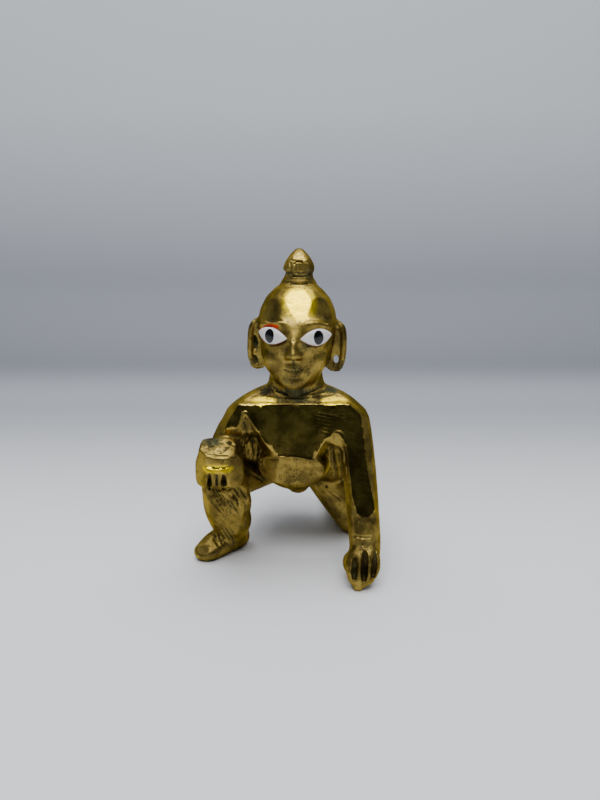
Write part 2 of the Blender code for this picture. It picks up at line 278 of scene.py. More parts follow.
# Flats on the head and hand: photograph pixel, how far under the surface, the plane's tilt,
# how far it reaches and how even the file has left it
spotFlats = [
    ((299, 294), 0.3, tilted(36, 1), (3.2, 6, 2.6), 0.7),
    ((299.5, 308), 0.3, tilted(29, 3), (3.5, 6, 3.2), 0.7),
    ((298.5, 256), 0.22, tilted(28, 0), 1.7, 0.3),
    ((216, 468.5), 0.3, tilted(36, 0), (3.9, 3, 0.9), 0.7),
    ((277, 305), 0.1, tilted(20, -44), 4.6, 0),
    ((323, 300), 0.1, tilted(20, 42), 4.6, 0),
    ((215, 442), 0.3, tilted(50, 2), 3.6, 0),
    ((206, 550), 0.3, tilted(44, -20), 3.6, 0.2),
]

# The long flat over chest and arm: its outline as the photograph shows it, and how it leans.
# It falls back upwards by the first slope, and below the bend over the arm by the second
facet = {
    "outline": [
        (239, 404), (228, 421), (224, 432), (237.5, 428), (242, 411), (247, 415), (258.6, 433), (267, 447), (278, 456),
        (300.6, 459), (313, 461), (320, 450), (326, 440), (334, 432), (343, 440), (347, 446), (352.6, 499), (357, 515),
        (364, 518), (372, 516), (375, 510), (368, 471), (361, 416), (350, 404),
    ],
    "bend": (-12.16, 36.8),
    "chestSlope": 0.158,
    "armSlope": 0.344,
    "armFrom": (6, 12),
    "farthest": 3.5,
    "skirtRings": 7,
    "skirtRounds": 40,
}
# Hollows cut with a round-nosed tool: centre and half sizes in pixels, and depth in mm
hollows = {
    "fistSlotOuter": ((209.5, 481.5), (2.3, 8.5), 1.2),
    "fistSlotMiddle": ((216.6, 480.5), (1.7, 7.5), 0.9),
    "fistSlotInner": ((223.6, 482), (2.6, 8.5), 1.2),
    "handSlotOuter": ((355, 568), (3.4, 12), 1.3),
    "handSlotMiddle": ((365, 565.5), (3.5, 15.5), 1.4),
    "handSlotInner": ((374.5, 563), (2.8, 13), 1.2),
    "knotRecess": ((301, 267.5), (10, 6.5), 0.6),
    "legPit": ((326.5, 486.5), (1.6, 1.8), 0.5),
}
# Places rubbed soft: pixel, reach in mm and rounds of smoothing
rubbed = [((366, 527), 4.2, 60), ((300, 322), 5.0, 70), ((284, 321), 3.6, 60), ((316, 321), 3.6, 60)]
# Places that stand fuller than the solid: pixel, reach and height in mm
swells = [((246, 505), 5.5, 0.8), ((246, 525), 5.0, 0.8), ((366, 528), 4.4, 0.25)]
# Ear plates: the box in the head's own frame, and the hollows left open in each
earPlates = {
    "right": ((-11.4, -6.6), (2.2, 13.4), [((253.6, 342), (1.1, 1.7)), ((253.5, 360.5), (1.1, 1.3))]),
    "left": ((6.6, 11.4), (2.2, 13.4), [((335.5, 358), (1.5, 2.2))]),
}
# How far forward the plates lie, and how far back an ear is filled to reach them
earDepths = (-1.25, 0.9)

# Grooves and ridges seen from the front: photograph pixels, width and depth in mm, raised where negative
chased = {
    "neckCreaseHigh": ([(268, 390), (283, 393), (300, 394.5), (316, 393), (330, 389)], 0.7, 0.3, 0.12),
    "neckCreaseMiddle": ([(264, 395), (281, 397.5), (300, 398), (319, 397), (334, 394)], 0.6, 0.26, 0.1),
    "neckCreaseLow": ([(258, 401), (280, 402), (300, 402.5), (320, 402), (341, 400)], 0.6, 0.2, 0.05),
    "elbowCut": ([(210, 434), (219, 438), (229, 443), (238, 449)], 0.9, 0.3, 0.06),
    "fistCrease": ([(203, 458), (217, 456.5), (230, 457)], 0.7, 0.2, 0.05),
    "wristCrease": ([(353, 535), (362, 537.5), (372, 537), (381, 535)], 0.8, 0.22, 0.08),
    "armpitRim": ([(319, 462), (325, 447), (330, 438), (335, 433), (341, 434), (345, 442), (348, 456)], 1.3, -0.14, 0),
    "armpitRimLow": ([(348, 456), (350, 474), (352, 492), (354, 508)], 1.1, -0.2, 0),
    "elbowRim": ([(239, 430), (241, 420), (245, 413), (251, 420), (258, 433), (266, 445)], 1.2, -0.25, 0),
    "shinRidge": ([(240, 492), (241.5, 505), (241.5, 518), (239, 527), (235, 535)], 1.6, -0.3, 0),
    "knotFacet": ([(291, 260.8), (300, 261.6), (310, 260.8)], 0.6, 0.35, 0.1),
    "knotCutLeft": ([(290.5, 262), (290.8, 268), (291.5, 275)], 0.5, 0.35, 0.1),
    "knotCutRight": ([(297, 262.5), (296.5, 268), (295.5, 274)], 0.5, 0.18, 0.04),
    "bandHigh": ([(283, 274), (291, 276), (300, 276.5), (309, 276), (315, 274)], 0.6, 0.32, 0.2),
    "bandLow": ([(279, 281), (289, 283.5), (299, 284), (309, 283.5), (318, 281)], 0.8, 0.42, 0.25),
    "knotTongue": ([(294, 264), (294.5, 269), (295, 275)], 1.3, -0.25, 0),
    "bellySlot": ([(264, 459), (280, 459), (297, 459.5), (312, 462), (322, 455)], 0.8, 0.12, 0.04),
}
# Folds hollowed behind the armpits, each a path of photograph pixels
folds = {
    "left": [[(244, 421), (246, 436), (245, 455)], [(250, 428), (253, 442), (256, 456)], [(239, 440), (241, 455)]],
    "right": [[(331, 445), (333, 460), (336, 478)], [(337, 440), (339, 458), (342, 482)], [(343, 446), (345, 466)]],
}
foldCut = (1.2, 0.3, 0.08)
# A stroke whose points lie further apart than this, in mm, has left the form and isn't cut
strokeJump = 8
# Runs of marks: first and last start in pixels, the stroke in pixels, how many, width and depth in mm
markRuns = {
    "shin": ((198, 488), (240, 488), (17, 27), 34, 0.5, 0.42),
    "shinLow": ((201, 504), (221, 512), (11, 18), 9, 0.6, 0.16),
    "calf": ((243, 498), (250, 500), (-2, 30), 3, 0.5, 0.1),
    "foldsLeft": ((240, 428), (262, 452), (-2, 22), 8, 0.6, 0.24),
    "thighTop": ((247, 468), (262, 482), (10, 9), 5, 0.6, 0.18),
    "foldsRight": ((330, 446), (346, 450), (1, 32), 6, 0.6, 0.22),
    "thighLeft": ((318, 484), (332, 492), (12, 10), 5, 0.5, 0.09),
    "fistPatch": ((206, 452), (220, 444), (7, -5), 5, 0.6, 0.09),
    "fistPatchCross": ((207, 446), (219, 449), (3, 6), 4, 0.5, 0.14),
    "footCreases": ((203, 536), (228, 528), (9, 14), 9, 0.6, 0.26),
    "neckLeft": ((250, 398), (266, 386), (9, -5), 6, 0.5, 0.14),
    "neckRight": ((322, 384), (338, 394), (7, 6), 5, 0.5, 0.14),
    "wrist": ((357, 519), (378, 522), (1, 12), 9, 0.45, 0.18),
    "chestRight": ((312, 412), (322, 436), (24, 5), 7, 0.4, 0.03),
    "chestRightLow": ((340, 418), (346, 440), (16, 5), 5, 0.4, 0.03),
    "armMarks": ((350, 456), (358, 505), (10, 6), 12, 0.4, 0.05),
}
faceCuts = {
    "mouth": ([(-2.3, 3.85), (-1.1, 3.55), (0, 3.65), (1.1, 3.55), (2.3, 3.85)], 0.55, 0.22, 0.05),
    "chinCrease": ([(-1.5, 1.9), (0, 1.6), (1.5, 1.9)], 0.8, 0.12, 0),
    "philtrum": ([(0, 5.9), (0, 5.0)], 0.6, 0.1, 0.04),
}
# Rings turned round the topknot: height, radius, width and depth in mm
knotMiddle = (0, 0.6)
knotRings = [(22.4, 4.3, 0.5, 0.15), (24.6, 3.3, 0.9, 0.3), (23.3, 3.8, 0.4, 0.1)]


def inPixels(spots):
    # where each vertex falls on the photograph, and the line of sight to it
    sight = spots - np.array(cameraAt["place"])
    local = sight @ np.array(cameraTurn.to_matrix())
    x, y = cameraAt["middlePixel"]
    f = cameraAt["focalPixels"]
    pixels = np.column_stack((x - f * local[:, 0] / local[:, 2], y + f * local[:, 1] / local[:, 2]))
    return pixels, sight / np.linalg.norm(sight, axis=1)[:, None]


def inOutline(pixels, outline):
    inside = np.zeros(len(pixels), dtype=bool)
    for (x0, y0), (x1, y1) in zip(outline, [*outline[1:], outline[0]]):
        if y0 != y1:
            crossing = (pixels[:, 1] > y0) != (pixels[:, 1] > y1)
            inside ^= crossing & (pixels[:, 0] < x0 + (pixels[:, 1] - y0) * (x1 - x0) / (y1 - y0))
    return inside


def visible(spots, tree, rows):
    # of these vertices, the ones that the camera sees first
    eye = Vector(cameraAt["place"])
    seen = []
    for row in rows:
        away = Vector(spots[row]) - eye
        hit = tree.ray_cast(eye, away.normalized())[3]
        if hit is not None and hit > away.length - 0.6:
            seen.append(row)
    return np.array(seen, dtype=int)


def layFacet(spots, tree, f):
    # brings the skin inside the outline onto the facet, along the line of sight
    pixels, sight = inPixels(spots)
    rows = visible(spots, tree, np.nonzero(inOutline(pixels, f["outline"]))[0])
    moved = spots[rows] + footprint
    for _ in range(4):
        share = np.clip((moved[:, 0] - f["armFrom"][0]) / (f["armFrom"][1] - f["armFrom"][0]), 0, 1)
        slope = f["chestSlope"] + (f["armSlope"] - f["chestSlope"]) * share * share * (3 - 2 * share)
        slope = np.where(moved[:, 2] > f["bend"][1], f["chestSlope"], slope)
        target = f["bend"][0] + (moved[:, 2] - f["bend"][1]) * slope
        moved += sight[rows] * ((target - moved[:, 1]) / sight[rows][:, 1])[:, None]
    moved -= footprint
    near = np.linalg.norm(moved - spots[rows], axis=1) < f["farthest"]
    spots[rows[near]] = moved[near]
    return rows[near]


def pressHollow(spots, tree, centre, size, depth):
    pixels, sight = inPixels(spots)
    reach = (((pixels - centre) / size) ** 2).sum(1)
    rows = visible(spots, tree, np.nonzero(reach < 1)[0])
    spots[rows] += sight[rows] * (depth * np.sqrt(1 - reach[rows]))[:, None]


def raiseEar(spots, normals, tree, across, upright, holes):
    # fills the deep hollow of an ear to a flat plate, but for the holes in it
    away = np.array(headTurn)
    level = earDepths[0]
    local = (spots + footprint - np.array(headAt["place"])) @ away
    take = (normals @ away)[:, 1] < -0.2  # what faces forward
    for axis, (least, most) in enumerate((across, earDepths, upright)):
        take &= (local[:, axis] > least) & (local[:, axis] < most)
    for pixel, size in holes:
        middle = seenAt(tree, *pixel)
        if middle is not None:
            gap = (spots - middle)[:, (0, 2)] / size
            take &= (gap**2).sum(1) > 1
    local[take, 1] = level
    spots[take] = local[take] @ away.T + np.array(headAt["place"]) - footprint


def markRun(spots, normals, tree, first, last, stroke, count, width, depth):
    # one hand's row of file strokes, no two quite alike
    for i in range(count):
        t = i / max(count - 1, 1)
        start = [a + (b - a) * t + dice.uniform(-1, 1) for a, b in zip(first, last)]
        length = dice.uniform(0.6, 1.15)
        pixels = [[a + run * k * length for a, run in zip(start, stroke)] for k in (0, 0.5, 1)]
        points = seenPath(tree, pixels)
        if len(points) == 3 and max(np.linalg.norm(np.diff(points, axis=0), axis=1)) < strokeJump:
            chase(spots, normals, curved(points), width, depth * dice.uniform(0.5, 1.3), depth * 0.3)


def fileSpots(spots, tree):
    # the small flats; returns how even the file has left each vertex
    even = np.zeros(len(spots))
    for pixel, bite, normal, reach, shine in spotFlats:
        centre = seenAt(tree, *pixel)
        above = (spots - centre) @ normal + bite
        take = (above > 0) & (np.linalg.norm((spots - centre) / reach, axis=1) < 1)
        spots[take] -= np.outer(above[take], normal)
        even[take] = shine
    return even


def softenSkirt(piece, spots, laid, f):
    # the skin beside the facet runs up to its edge
    skirt = laid[:, None]
    pairs, counts = edgePairs(piece, len(spots))
    for _ in range(f["skirtRings"]):
        skirt = np.maximum(skirt, np.sign(neighbourMean(skirt, pairs, counts)))
    soften(piece, spots, (skirt[:, 0] > 0) & (laid == 0), f["skirtRounds"])


def cutLines(spots, normals, tree):
    # all that is chased or filed as a line
    for pixels, *cut in chased.values():
        chase(spots, normals, curved(seenPath(tree, pixels)), *cut)
    for pixels in folds["left"] + folds["right"]:
        chase(spots, normals, curved(seenPath(tree, pixels)), *foldCut)
    for run in markRuns.values():
        markRun(spots, normals, tree, *run)
    for points, *cut in faceCuts.values():
        chase(spots, normals, curved([onFace(tree, *p) for p in points]), *cut)
    for rise, radius, *cut in knotRings:
        chase(spots, normals, np.array(ringRound(knotMiddle, radius, rise)), *cut)


def castSurface(spots, normals, even, c):
    # the founder's uneven surface, calmer where the file has been
    for i, spot in enumerate(spots):
        wide = noise.noise(Vector(spot) / c["wobbleSize"])
        small = noise.noise(Vector(spot) / c["dentSize"] + Vector(c["dentsFrom"]))
        spots[i] += normals[i] * (wide * c["wobble"] + small * c["dents"]) * (1 - c["filedCalm"] * even[i])


def thinOut(piece, kept):
    # fewer faces where the skin is plain, and nothing under the floor
    thin = piece.modifiers.new("thin", "DECIMATE")
    thin.ratio = kept
    applyAll(piece)
    spots = readMesh(piece)
    spots[:, 2] = np.maximum(spots[:, 2], 0)
    writeMesh(piece, spots)


def workCasting(piece, c):
    spots = readMesh(piece)
    tree = skinTree(spots, piece)
    for pixel, reach, rounds in rubbed:
        soften(piece, spots, np.linalg.norm(spots - seenAt(tree, *pixel), axis=1) < reach, rounds)
    normals = readNormals(piece)
    for pixel, reach, height in swells:
        gap = np.linalg.norm(spots - seenAt(tree, *pixel), axis=1) / reach
        spots += normals * (height * np.clip(1 - gap**2, 0, 1) ** 2)[:, None]
    for plane in flats.values():
        fileFlat(spots, *plane)
    even = fileSpots(spots, skinTree(spots, piece))
    laid = np.zeros(len(spots))
    laid[layFacet(spots, skinTree(spots, piece), facet)] = 1
    even = np.maximum(even, laid)
    softenSkirt(piece, spots, laid, facet)
    tree = skinTree(spots, piece)
    for hollow in hollows.values():
        pressHollow(spots, tree, *hollow)
    writeMesh(piece, spots)
    for ear in earPlates.values():
        raiseEar(spots, readNormals(piece), tree, *ear)
    writeMesh(piece, spots)
    normals = readNormals(piece)
    cutLines(spots, normals, skinTree(spots, piece))
    castSurface(spots, normals, even, c)
    writeMesh(piece, spots)
    paintPoints(piece, "evenness", np.repeat(even[:, None], 3, axis=1))
    thinOut(piece, c["kept"])
    piece.data.shade_smooth()
    print("casting worked:", len(piece.data.polygons), "faces")


def paintPoints(piece, name, values):
    layer = piece.data.color_attributes.new(name, "FLOAT_COLOR", "POINT")
    layer.data.foreach_set("color", np.column_stack((values, np.ones(len(values)))).ravel())


def soften(piece, spots, take, rounds):
    # smooths the skin where take says
    pairs, counts = edgePairs(piece, len(spots))
    for _ in range(rounds):
        spots[take] = (0.5 * spots + 0.5 * neighbourMean(spots, pairs, counts))[take]


def edgePairs(piece, count):
    pairs = np.empty(len(piece.data.edges) * 2, dtype=np.int32)
    piece.data.edges.foreach_get("vertices", pairs)
    pairs = pairs.reshape(-1, 2)
    return pairs, np.bincount(pairs.ravel(), minlength=count).astype(float)


def neighbourMean(values, pairs, counts):
    # each vertex's neighbours, averaged column by column
    ends = np.concatenate((pairs[:, 0], pairs[:, 1]))
    others = np.concatenate((pairs[:, 1], pairs[:, 0]))
    total = [np.bincount(ends, column[others], minlength=len(counts)) for column in values.T]
    return np.column_stack(total) / counts[:, None]


def hollowness(piece, rounds):
    # how far each vertex lies below the surface smoothed over its surroundings, in mm
    spots = readMesh(piece)
    normals = readNormals(piece)
    pairs, counts = edgePairs(piece, len(spots))
    soft = spots
    for _ in range(rounds):
        soft = 0.5 * soft + 0.5 * neighbourMean(soft, pairs, counts)
    return np.einsum("ij,ij->i", soft - spots, normals)


# Dirt in what lies low: rounds of smoothing, the depth in mm that fills up, what is spared and the strength
lowPlaces = [(12, 0.12, 0.15, 0.8), (60, 0.7, 0.2, 0.3)]
# Where dirt and verdigris have stayed, and painted shade under the chin and under the belly: photograph pixel, reach
# in mm and strength
grimeAndShadePatches = [
    ((266, 391), 2.2, 0.9),
    ((332, 389), 2.2, 0.9),
    ((296, 371), 2.4, 0.55),
    ((288, 380), 2.6, 0.45),
    ((309, 372), 2.6, 0.4),
    ((284, 352), 2.0, 0.35),
    ((306, 345), 1.8, 0.6),
    ((309, 274), 2.2, 0.6),
    ((291, 274), 2.0, 0.5),
    ((340, 366), 2.2, 0.6),
    ((254, 361), 1.6, 0.6),
    ((254, 342), 1.3, 1.0),
    ((365, 545), 2.4, 0.5),
    ((212, 440), 3.2, 0.85),
    ((299, 400), 3.6, 0.7),
    ((282, 400), 2.4, 0.5),
    ((317, 400), 2.4, 0.5),
    ((292, 478), 5.0, 0.32),
]
# Painted highlight: a bright yellow tint on freshly filed places where the highlights fall: pixel and reach in mm
# along each axis
highlightTintSpots = [
    ((300, 302), (3.6, 3, 4.6)),
    ((216, 469.5), (3.6, 2, 0.8)),
    ((264, 401), (2.6, 2, 0.8)),
    ((334, 401), (2.8, 2, 0.8)),
]
# The touch of vermilion over one eye plate
vermilion = {"path": [(260, 331), (265, 327.5), (271, 325.5), (277, 327)], "reach": 0.55}
# Where the file has left its marks: pixel, reach in mm, and how much across, slanting down and upright
filedPatches = [
    ((335, 420), 9.0, (0.06, 0, 0)),
    ((300, 430), 10.0, (0.03, 0, 0)),
    ((365, 480), 6.0, (0.09, 0.03, 0)),
    ((222, 505), 6.5, (0, 1.0, 0)),
    ((225, 412), 5.0, (0, 0.3, 0)),
    ((250, 470), 4.5, (0, 0.5, 0)),
    ((250, 440), 4.0, (0, 0, 0.5)),
    ((338, 465), 5.0, (0, 0, 0.5)),
    ((300, 305), 4.5, (0.2, 0.1, 0)),
    ((325, 515), 5.0, (0, 0.4, 0)),
    ((290, 468), 5.0, (0.1, 0, 0)),
]


def markPatches(piece):
    # colour attributes for the dirt with its painted shade, the painted highlight tint and the file marks, painted by
    # place
    spots = readMesh(piece)
    even = np.empty(len(spots) * 4)
    piece.data.color_attributes["evenness"].data.foreach_get("color", even)
    even = even[::4]
    tree = skinTree(spots, piece)
    grimeAndShade = np.zeros(len(spots))
    for rounds, depth, spared, strength in lowPlaces:
        grimeAndShade = np.maximum(grimeAndShade, np.clip(hollowness(piece, rounds) / depth - spared, 0, 1) * strength)
    # dark patches: dirt and verdigris, and painted shade under the chin and under the belly
    for pixel, reach, strength in grimeAndShadePatches:
        centre = seenAt(tree, *pixel)
        if centre is not None:
            gap = np.linalg.norm(spots - centre, axis=1)
            grimeAndShade = np.maximum(grimeAndShade, np.clip(1.3 - gap / reach, 0, 1) * strength)
    path = curved(seenPath(tree, vermilion["path"]))
    red = np.clip(1.35 - awayFrom(spots, path)[0] / vermilion["reach"], 0, 1)
    marks = np.full((len(spots), 3), 0.03)
    for pixel, reach, amount in filedPatches:
        centre = seenAt(tree, *pixel)
        if centre is not None:
            weight = np.clip(1.4 - np.linalg.norm(spots - centre, axis=1) / reach, 0, 1)
            marks = np.maximum(marks, weight[:, None] * np.array(amount))
    highlightTint = np.zeros(len(spots))
    for pixel, size in highlightTintSpots:
        middle = seenAt(tree, *pixel)
        highlightTint = np.maximum(highlightTint, np.clip(3 - 2.4 * np.linalg.norm((spots - middle) / size, axis=1), 0, 1))
    # little dirt and fewer marks stay where the file has left it even
    # the third channel is the painted highlight tint, which keeps dirt off
    grimeAndShade = np.column_stack((grimeAndShade * (1 - 0.9 * highlightTint), red, highlightTint))
    grimeAndShade[:, 0] *= 1 - 0.85 * even
    marks *= (1 - 0.45 * even)[:, None]
    # this attribute holds dirt with painted shade, the vermilion and the painted highlight tint
    paintPoints(piece, "grimeAndShade", grimeAndShade)
    paintPoints(piece, "fileMarks", marks)


idol = gatherSkin(casting)
workCasting(idol, casting)
markPatches(idol)
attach(idol, "root")
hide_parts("idol")


# Brass, cast and hand filed: an uneven mirror broken up by file marks, pits and dark crevices
brass = {
    "bright": "A28B44",
    "dull": "6C5C2E",
    "stain": "544622",
    # dark colour for dirt and for painted shade
    "grimeAndShade": "251F11",
    "verdigris": "484E36",
    "vermilion": "C2360F",
    # painted highlight colour, the yellow of freshly filed brass
    "filed": "EACB22",
    "edge": "DCCB98",
    "polished": 0.1,
    "worn": 0.35,
    "worked": 0.1,
    "cloudSize": 5.0,
    "patchSize": 1.7,
    "speckleSize": 0.42,
    "markGap": 0.18,
    "markDepth": 0.11,
    "markAngles": {"Red": 9, "Green": 57, "Blue": 86},
    "pitGap": 0.62,
    "pitSize": 0.34,
    "pitChance": 0.55,
}


def ranged(tree, value, low, high, toLow=0.0, toHigh=1.0):
    # a value taken smoothly from one range to another
    made = addNode(tree, "MapRange", {"interpolation_type": "SMOOTHSTEP"}, Value=value)
    for name, number in (("From Min", low), ("From Max", high), ("To Min", toLow), ("To Max", toHigh)):
        made.inputs[name].default_value = number
    return made.outputs[0]


def worked(tree, operation, *values):
    # one step of arithmetic
    return addNode(tree, "Math", {"operation": operation}, **{f"_{i}": v for i, v in enumerate(values)}).outputs[0]


def blended(tree, amount, first, second):
    # two colours mixed; each a hex code or a socket
    mixed = addNode(tree, "Mix", {"data_type": "RGBA"}, _0=amount)
    for index, colour in ((6, first), (7, second)):
        if isinstance(colour, str):
            mixed.inputs[index].default_value = hexColour(colour)
        else:
            tree.links.new(colour, mixed.inputs[index])
    return mixed.outputs[2]


def clouded(tree, where, size, detail=4.0, roughness=0.55):
    # noise with features of about this size in mm
    made = addNode(tree, "TexNoise", None, Vector=where, Scale=1 / (size * mm), Detail=detail, Roughness=roughness)
    return made.outputs["Fac"]


def streaks(tree, where, angle, gap, length=16.0):
    # noise drawn out along one direction, as a file leaves it; the turn is about the line of sight
    turned = addNode(tree, "Mapping", {"vector_type": "TEXTURE"}, Vector=where)
    turned.inputs["Rotation"].default_value = (0, math.radians(angle), 0)
    turned.inputs["Scale"].default_value = (gap * length * mm, gap * length * mm, gap * mm)
    lines = addNode(tree, "TexNoise", None, Vector=turned.outputs[0], Scale=1.0, Detail=2.0, Roughness=0.6)
    return ranged(tree, lines.outputs["Fac"], 0.5, 0.64)


def paintedOn(tree, name):
    # the three channels of a colour attribute
    colour = addNode(tree, "VertexColor", {"layer_name": name}).outputs[0]
    return addNode(tree, "SeparateColor", None, Color=colour).outputs


def brassMaterial(b):
    material = bpy.data.materials.new("filedCastBrass")
    material.use_nodes = True
    tree = material.node_tree
    shader = tree.nodes["Principled BSDF"]
    where = addNode(tree, "TexCoord").outputs["Object"]
    clouds = clouded(tree, where, b["cloudSize"])
    patches = clouded(tree, where, b["patchSize"], 5.0, 0.62)
    speckle = clouded(tree, where, b["speckleSize"], 4.0, 0.7)
    painted = paintedOn(tree, "grimeAndShade")
    marked = paintedOn(tree, "fileMarks")
    # dirt and painted shade sit where they are painted, broken up by speckle
    broken = worked(tree, "MULTIPLY_ADD", speckle, 2.6, -1.3)
    soiledAndShaded = ranged(tree, worked(tree, "MULTIPLY_ADD", painted["Red"], 1.3, broken), 0.2, 1.1)
    # small casting pits, few and dark inside
    pitField = addNode(tree, "TexVoronoi", None, Vector=where, Scale=1 / (b["pitGap"] * mm), Randomness=1.0)
    chance = addNode(tree, "SeparateColor", None, Color=pitField.outputs["Color"]).outputs["Red"]
    pitSize = ranged(tree, chance, b["pitChance"], 1.0, 0.0, b["pitSize"])
    even = paintedOn(tree, "evenness")["Red"]
    pitSize = worked(tree, "MULTIPLY", pitSize, ranged(tree, even, 0, 1, 1.0, 0.35))
    pits = worked(tree, "LESS_THAN", pitField.outputs["Distance"], pitSize)
    dirtAndShade = worked(tree, "MAXIMUM", soiledAndShaded, worked(tree, "MULTIPLY", pits, 0.85))
    metal = blended(tree, ranged(tree, clouds, 0.38, 0.6), b["dull"], b["bright"])
    metal = blended(tree, ranged(tree, patches, 0.52, 0.72, 0.0, 0.75), metal, b["stain"])
    # painted highlight: bright yellow where the highlights fall, on freshly filed places
    metal = blended(tree, painted["Blue"], metal, b["filed"])
    # one dark colour for dirt and for the painted shade
    dirtShadeColour = blended(tree, ranged(tree, clouds, 0.42, 0.6), b["grimeAndShade"], b["verdigris"])
    colour = blended(tree, dirtAndShade, metal, dirtShadeColour)
    red = worked(tree, "SUBTRACT", painted["Green"], 0.5)
    red = ranged(tree, worked(tree, "MULTIPLY_ADD", speckle, 0.9, red), 0.35, 0.6)
    colour = blended(tree, red, colour, b["vermilion"])
    tree.links.new(colour, shader.inputs["Base Color"])
    shader.inputs["Specular Tint"].default_value = hexColour(b["edge"])
    bare = worked(tree, "SUBTRACT", ranged(tree, dirtAndShade, 0, 1, 1.0, 0.3), red)
    tree.links.new(worked(tree, "MAXIMUM", bare, 0.0), shader.inputs["Metallic"])
    rough = ranged(tree, patches, 0.35, 0.65, 0.0, b["worked"])
    rough = worked(tree, "ADD", rough, ranged(tree, even, 0, 1, b["worn"], b["polished"]))
    rough = worked(tree, "MULTIPLY_ADD", worked(tree, "MAXIMUM", dirtAndShade, red), 0.4, rough)
    tree.links.new(rough, shader.inputs["Roughness"])
    # file marks in three directions, each where its attribute says, over the founder's fine unevenness
    height = worked(tree, "MULTIPLY_ADD", patches, 0.25, worked(tree, "MULTIPLY", speckle, 0.07))
    height = worked(tree, "MULTIPLY", height, ranged(tree, even, 0, 1, 1.0, 0.3))
    for channel, angle in b["markAngles"].items():
        lines = streaks(tree, where, angle, b["markGap"])
        height = worked(tree, "MULTIPLY_ADD", lines, marked[channel], height)
    height = worked(tree, "MULTIPLY_ADD", pits, -0.9, height)
    bump = addNode(tree, "Bump", None, Height=height, Strength=0.8, Distance=b["markDepth"] * mm)
    tree.links.new(bump.outputs["Normal"], shader.inputs["Normal"])
    return material


idol.data.materials.append(brassMaterial(brass))
print("materials made")


# Eye plates: white enamel with a black pupil, set in the seats of the casting
eyes = {
    "dome": 0.35,
    "gloss": 0.14,
    "white": "F2EEEC",
    "shade": "CFC9C8",
    "rim": "A63A22",
    "pupil": "08080A",
    "pupilWidth": 2.5,
    "pupilHeight": 3.2,
    "pupilShift": {"right_eye": 0.1, "left_eye": -0.1},
}


def eyePlate(nodeName, pieceName, e):
    piece = copyOfNode(nodeName, pieceName)
    smooth = piece.modifiers.new("smooth", "SUBSURF")
    smooth.subdivision_type = "SIMPLE"
    smooth.levels = smooth.render_levels = 2
    applyAll(piece)
    spots = readMesh(piece)
    middle = (spots.min(0) + spots.max(0)) / 2
    _, _, (along, up, out) = np.linalg.svd(spots - spots.mean(0), full_matrices=False)
    out = out if out[1] < 0 else -out
    up = up if up[2] > 0 else -up
    along = along if along[0] > 0 else -along
    u = (spots - middle) @ along
    v = (spots - middle) @ up
    halfLength = np.abs(u).max()
    halfHeight = np.abs(v).max()
    fall = np.clip(1 - (u / halfLength) ** 2, 0.001, 1)
    near = np.clip(1 - (v / (halfHeight * fall)) ** 2, 0, 1) * fall
    facing = readNormals(piece) @ out
    spots += np.outer(np.where(facing > 0.3, e["dome"] * near, 0), out)
    writeMesh(piece, spots)
    soloSelect(piece)
    bpy.ops.object.shade_smooth_by_angle(angle=math.radians(40))
    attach(piece, "root")
    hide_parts(nodeName)
    axes, halves = (middle, along, up), (halfLength, halfHeight)
    enamel = enamelMaterial(pieceName + "Enamel", axes, halves, e, e["pupilShift"][nodeName])
    piece.data.materials.append(enamel)


def enamelMaterial(name, axes, halves, e, shift):
    # glossy white enamel on a stamped plate: a mottled white, a black pupil and a worn red line round the rim
    material = bpy.data.materials.new(name)
    material.use_nodes = True
    tree = material.node_tree
    shader = tree.nodes["Principled BSDF"]
    shader.inputs["Roughness"].default_value = e["gloss"]
    shader.inputs["IOR"].default_value = 1.5
    middle, along, up = axes
    halfLength, halfHeight = halves
    where = addNode(tree, "TexCoord").outputs["Object"]
    across = addNode(tree, "VectorMath", {"operation": "SUBTRACT"}, _0=where, _1=tuple(middle * mm)).outputs[0]
    u = addNode(tree, "VectorMath", {"operation": "DOT_PRODUCT"}, _0=across, _1=tuple(along / mm)).outputs["Value"]
    v = addNode(tree, "VectorMath", {"operation": "DOT_PRODUCT"}, _0=across, _1=tuple(up / mm)).outputs["Value"]
    # the pupil is a tall oval
    pu = worked(tree, "MULTIPLY", worked(tree, "SUBTRACT", u, shift), 2 / e["pupilWidth"])
    pv = worked(tree, "MULTIPLY", v, 2 / e["pupilHeight"])
    gap = worked(tree, "ADD", worked(tree, "MULTIPLY", pu, pu), worked(tree, "MULTIPLY", pv, pv))
    pupil = ranged(tree, gap, 0.92, 1.08, 1.0, 0.0)
    # the rim follows the almond
    uu = worked(tree, "MULTIPLY", u, 1 / halfLength)
    reach = worked(tree, "MULTIPLY_ADD", worked(tree, "MULTIPLY", uu, uu), -halfHeight, halfHeight)
    edge = worked(tree, "SUBTRACT", reach, worked(tree, "ABSOLUTE", v))
    mottle = clouded(tree, where, 0.9, 3.0)
    worn = worked(tree, "MULTIPLY_ADD", mottle, 0.5, edge)
    low = ranged(tree, v, -0.4, 0.3, 0.8, 0.12)
    rim = worked(tree, "MULTIPLY", ranged(tree, worn, 0.26, 0.44, 1.0, 0.0), low)
    colour = blended(tree, mottle, e["shade"], e["white"])
    colour = blended(tree, rim, colour, e["rim"])
    colour = blended(tree, pupil, colour, e["pupil"])
    tree.links.new(colour, shader.inputs["Base Color"])
    return material


for nodeName, pieceName in (("right_eye", "rightEyePlate"), ("left_eye", "leftEyePlate")):
    eyePlate(nodeName, pieceName, eyes)
print("eyes set")


